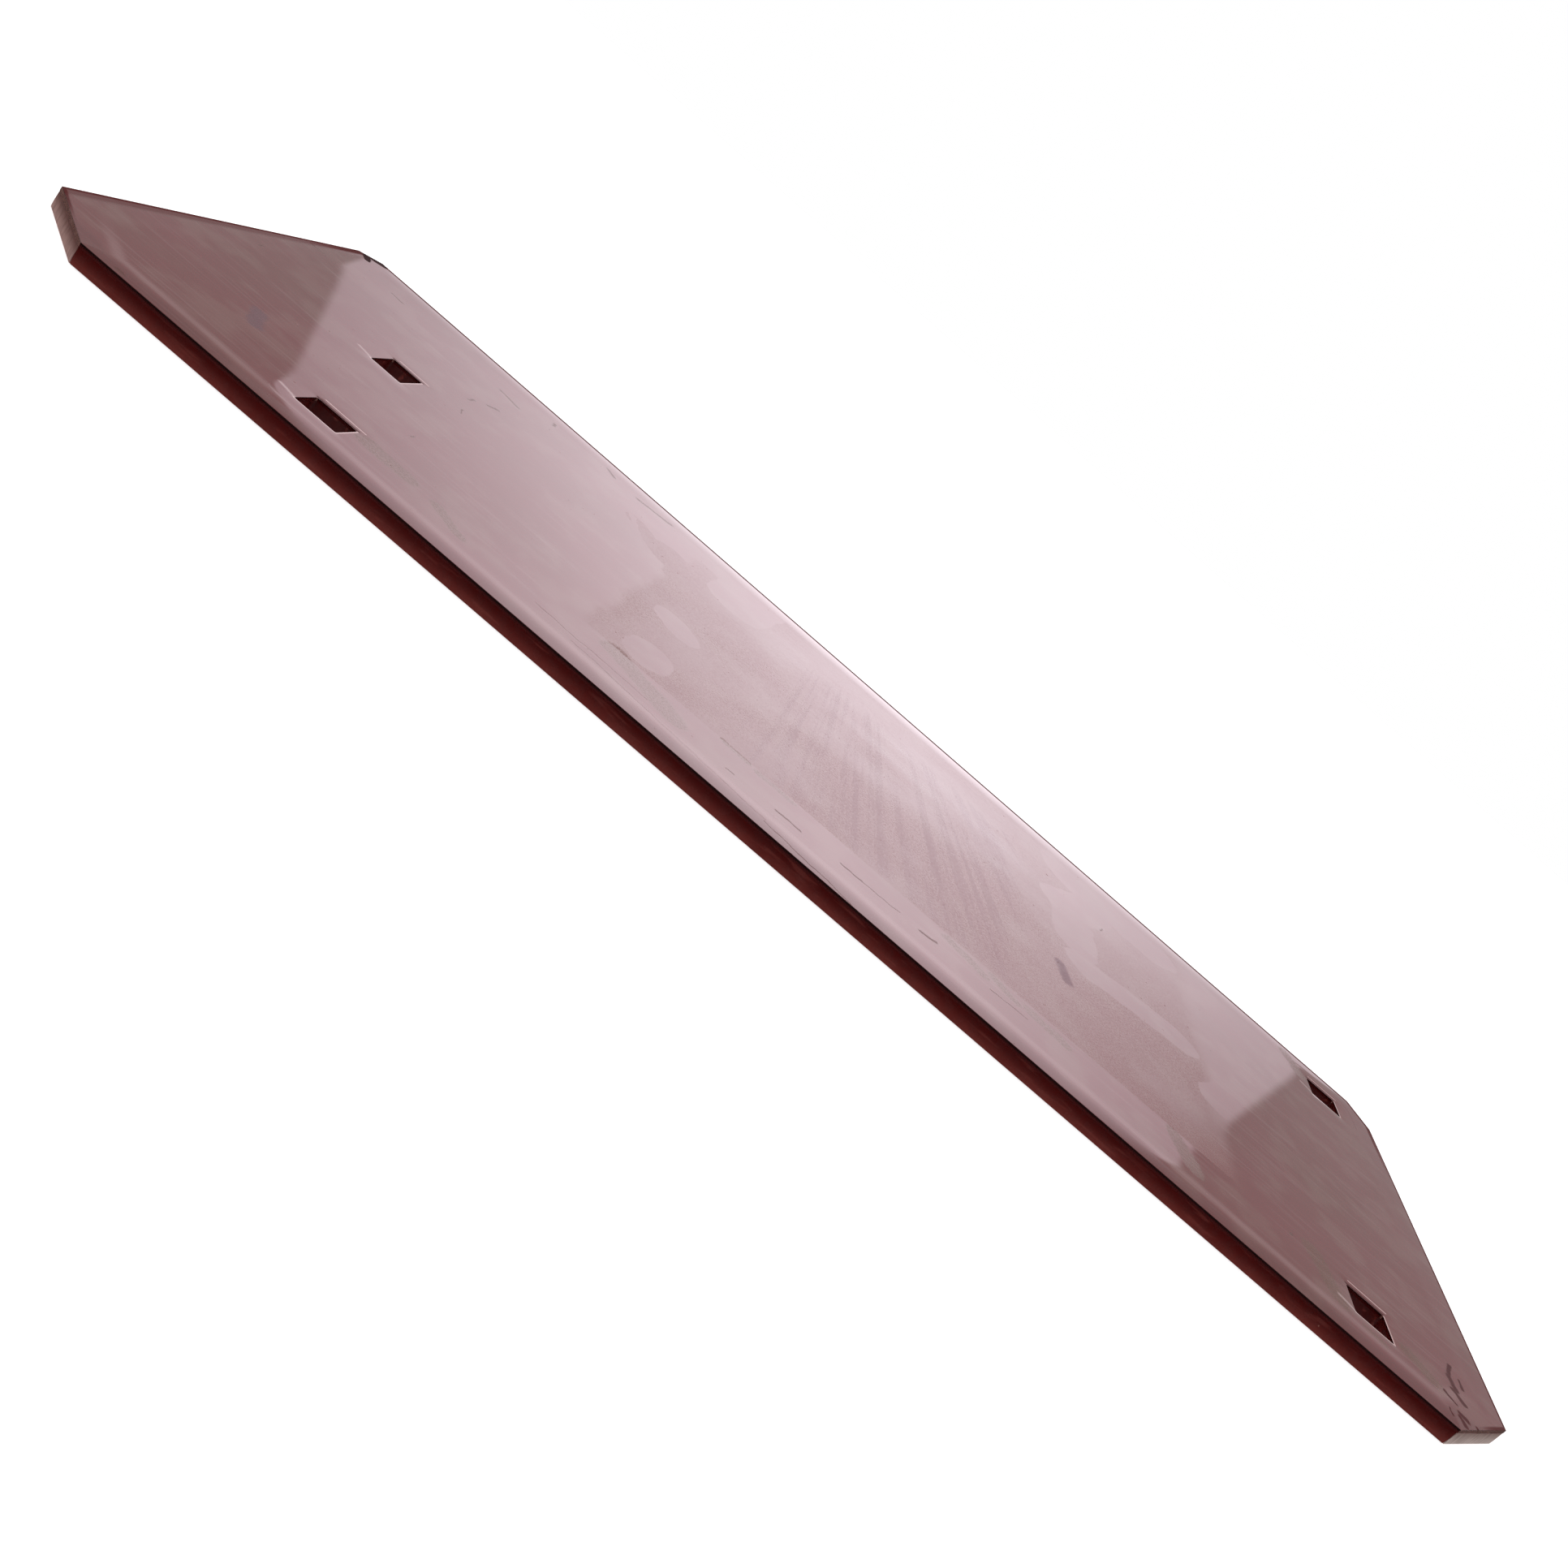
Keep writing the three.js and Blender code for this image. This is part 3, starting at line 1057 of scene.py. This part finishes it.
def frame_paint():
    """The same red on the frame bars, with painted shade: darker towards the top under the deck, lighter
    towards the ground.
    """
    finish = Finish("frame_paint", IOR=1.5, Specular_IOR_Level=0.12)
    place = finish.millimetres
    height = finish.parts(finish.wobbled(place, 9, 1.6))[2]
    # Painted shade: the red darkens towards the top of the bars, under the deck's edge.
    up = finish.span(height, -0.5, 6.5)
    base = finish.blend(up, colour(0.155, 0.027, 0.022), colour(0.056, 0.0026, 0.0022))
    blotches = finish.span(finish.noise(1 / 14, 4, place), 0.35, 0.7)
    base = finish.blend(finish.both(blotches, 0.35), base, colour(0.075, 0.003, 0.0025))
    scuffs = finish.span(finish.noise(1, 4, finish.stretched((0.06, 0.06, 0.5), 0, place)), 0.56, 0.72)
    base = finish.blend(finish.both(scuffs, 0.25), base, colour(0.22, 0.05, 0.04))
    specks = finish.span(finish.noise(0.4, 1, place), 0.78, 0.82)
    base = finish.blend(finish.both(specks, 0.5), base, colour(0.40, 0.20, 0.15))
    rough = finish.span(finish.noise(0.25, 3, place), 0.3, 0.7, 0.2, 0.32)
    finish.set(Normal=finish.bump(finish.noise(0.6, 3, place), 0.3, 0.04 * MM))
    return finish.set(Base_Color=base, Roughness=rough)


def corner_finish():
    """Ground-back corner plates under a smeared grey-brown film, with painted light and shade: darker at
    the left end and high up, paler at the right end and towards the ground.
    """
    finish = Finish("corner_finish", IOR=1.5)
    place = finish.millimetres
    x, _, height = finish.parts(finish.wobbled(place, 4, 1.5))
    # Painted light and shade: the film is darker at the left end and higher up, paler at the right end and
    # lower down.
    dark = finish.blend(finish.span(x, -300, 300), colour(0.16, 0.055, 0.045), colour(0.33, 0.21, 0.185))
    pale = finish.blend(finish.span(x, -300, 300), colour(0.50, 0.29, 0.26), colour(0.66, 0.52, 0.48))
    base = finish.blend(finish.span(height, 7.5, 0.5), dark, pale)
    streaks = finish.noise(1, 4, finish.stretched((0.5, 0.5, 0.12), 0, place))
    base = finish.blend(finish.span(streaks, 0.45, 0.75, 0, 0.45), base, colour(0.14, 0.06, 0.05))
    rough = finish.span(streaks, 0.3, 0.7, 0.3, 0.5)
    finish.set(Normal=finish.bump(streaks, 0.3, 0.06 * MM))
    return finish.set(Base_Color=base, Roughness=rough)


def collar_paint():
    """Thick red paint down in the bolt holes, with a few runs and dabs."""
    finish = Finish("collar_paint", IOR=1.5, Specular_IOR_Level=0.3)
    place = finish.millimetres
    base = finish.blend(finish.noise(0.3, 3, place), colour(0.06, 0.003, 0.003), colour(0.10, 0.006, 0.005))
    dabs = finish.span(finish.noise(0.22, 3, place), 0.56, 0.66)
    base = finish.blend(finish.both(dabs, 0.7), base, colour(0.22, 0.035, 0.025))
    rough = finish.span(finish.noise(0.4, 2, place), 0.3, 0.7, 0.35, 0.6)
    finish.set(Normal=finish.bump(finish.noise(0.5, 3, place), 0.4, 0.1 * MM))
    return finish.set(Base_Color=base, Roughness=rough)


def underside_primer():
    """Dull red primer under the deck, dusty and rubbed, with rust starting in spots."""
    finish = Finish("underside_primer", IOR=1.45)
    place = finish.millimetres
    clouds = finish.noise(1 / 18, 4, place)
    base = finish.blend(clouds, colour(0.10, 0.022, 0.016), colour(0.15, 0.04, 0.03))
    rust = finish.span(finish.noise(0.12, 5, place), 0.6, 0.72)
    base = finish.blend(finish.both(rust, 0.7), base, colour(0.16, 0.06, 0.02))
    rough = finish.span(finish.noise(0.3, 3, place), 0.3, 0.7, 0.5, 0.75)
    finish.set(Normal=finish.bump(finish.noise(0.7, 3, place), 0.4, 0.06 * MM))
    return finish.set(Base_Color=base, Roughness=rough)


# ---- studio ----


def add_camera():
    camera = bpy.data.objects.new("camera", bpy.data.cameras.new("camera"))
    bpy.context.scene.collection.objects.link(camera)
    camera.data.lens = CAMERA_LENS
    camera.data.sensor_width = 36
    camera.data.clip_start = 0.01
    camera.data.clip_end = 100
    turn = Matrix.Rotation(math.radians(-CAMERA_AZIMUTH), 4, "Z")
    tilt = Matrix.Rotation(math.radians(90 + CAMERA_ELEVATION), 4, "X")
    roll = Matrix.Rotation(math.radians(CAMERA_ROLL), 4, "Z")
    camera.matrix_world = Matrix.Translation(CAMERA_AT) @ turn @ tilt @ roll
    bpy.context.scene.camera = camera


def add_floor():
    deselect_all()
    bpy.ops.mesh.primitive_plane_add(size=40, location=(0, 0, -0.1 * MM))
    floor = bpy.context.object
    floor.name = "floor"
    finish = Finish("floor_white", IOR=1.45, Roughness=0.9)
    floor.data.materials.append(finish.set(Base_Color=colour(0.86, 0.86, 0.86)))
    floor.visible_glossy = False
    floor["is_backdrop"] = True
    return floor


def add_world():
    """A bright soft panel low behind the plank, darker surroundings, and white for the camera.

    The panel's upright edges lean outwards with height. It is brightest near its middle.
    """
    world = bpy.data.worlds.new("studio")
    bpy.context.scene.world = world
    world.use_nodes = True
    world.node_tree.nodes.clear()
    nodes = Nodes(world.node_tree)
    toward_x, toward_y, height = nodes.parts(nodes.add("ShaderNodeTexCoord").outputs["Generated"])
    degrees = nodes.math("MULTIPLY", nodes.math("ARCTAN2", toward_x, toward_y), 180 / math.pi)
    leaning = nodes.both(degrees, nodes.math("MULTIPLY_ADD", height, 0.35, 0.90))

    inside = nodes.both(
        nodes.span(leaning, PANEL_LEFT, PANEL_LEFT + PANEL_SOFTNESS),
        nodes.span(leaning, PANEL_RIGHT, PANEL_RIGHT - PANEL_SOFTNESS),
    )
    inside = nodes.both(inside, nodes.span(height, 0.0, 0.02))
    inside = nodes.both(inside, nodes.span(height, 0.75, 0.6))
    hot_left = nodes.span(degrees, -28.0, 3.0, 0.66, 1.88)
    hot_right = nodes.span(degrees, 4.0, 27.0, 0.0, 1.09)
    panel = nodes.math("SUBTRACT", hot_left, hot_right)
    behind = nodes.span(toward_y, -0.2, 0.5, 0.22, 0.42)
    around = nodes.both(behind, nodes.span(height, -0.05, 0.05, 0.1, 1))

    level = nodes.mix(inside, around, panel)
    tint = nodes.blend(inside, colour(1, 1, 1), colour(1.10, 1.0, 1.06))
    lighting = nodes.add("ShaderNodeBackground", ("Color", tint), ("Strength", level))
    backdrop = nodes.add("ShaderNodeBackground", ("Color", colour(1, 1, 1)), ("Strength", 1.0))
    is_camera = nodes.add("ShaderNodeLightPath").outputs["Is Camera Ray"]
    choice = ((0, is_camera), (1, lighting.outputs[0]), (2, backdrop.outputs[0]))
    mixed = nodes.add("ShaderNodeMixShader", *choice)
    nodes.add("ShaderNodeOutputWorld", (0, mixed.outputs[0]))


def add_sun(name, elevation, softness, strength, receivers, blockers=None):
    """A soft sun behind the plank that lights just the receivers and shows in no reflection."""
    light = bpy.data.objects.new(name, bpy.data.lights.new(name, "SUN"))
    bpy.context.scene.collection.objects.link(light)
    light.data.angle = math.radians(softness)
    light.data.energy = strength
    light.rotation_euler = (math.radians(elevation - 90), 0, 0)
    light.visible_glossy = False
    lit = bpy.data.collections.new(name + "_lit")
    for receiver in receivers:
        lit.objects.link(receiver)
    light.light_linking.receiver_collection = lit
    if blockers:
        shading = bpy.data.collections.new(name + "_blockers")
        for blocker in blockers:
            shading.objects.link(blocker)
        light.light_linking.blocker_collection = shading


# ---- the plank ----

bpy.context.scene.view_settings.view_transform = "Standard"
add_camera()
floor = add_floor()
add_world()

add_deck_plate(deck_paint())
add_frame_bars(frame_paint(), corner_finish())
collar_finish = collar_paint()
primer = underside_primer()
for number in range(1, 5):
    add_bolt_collar(number, collar_finish)
    add_collar_welds(number, primer)
for number in range(1, 4):
    add_cross_stiffener(number, primer)
    add_stiffener_welds(number, primer)
for number in range(1, 6):
    add_spine_bar(number, primer)
add_stitch_welds(primer)

add_sun("key", 45, 40, 3.6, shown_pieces())
add_sun("floor_wash", 90, 120, 3.9, [floor], blockers=[floor])
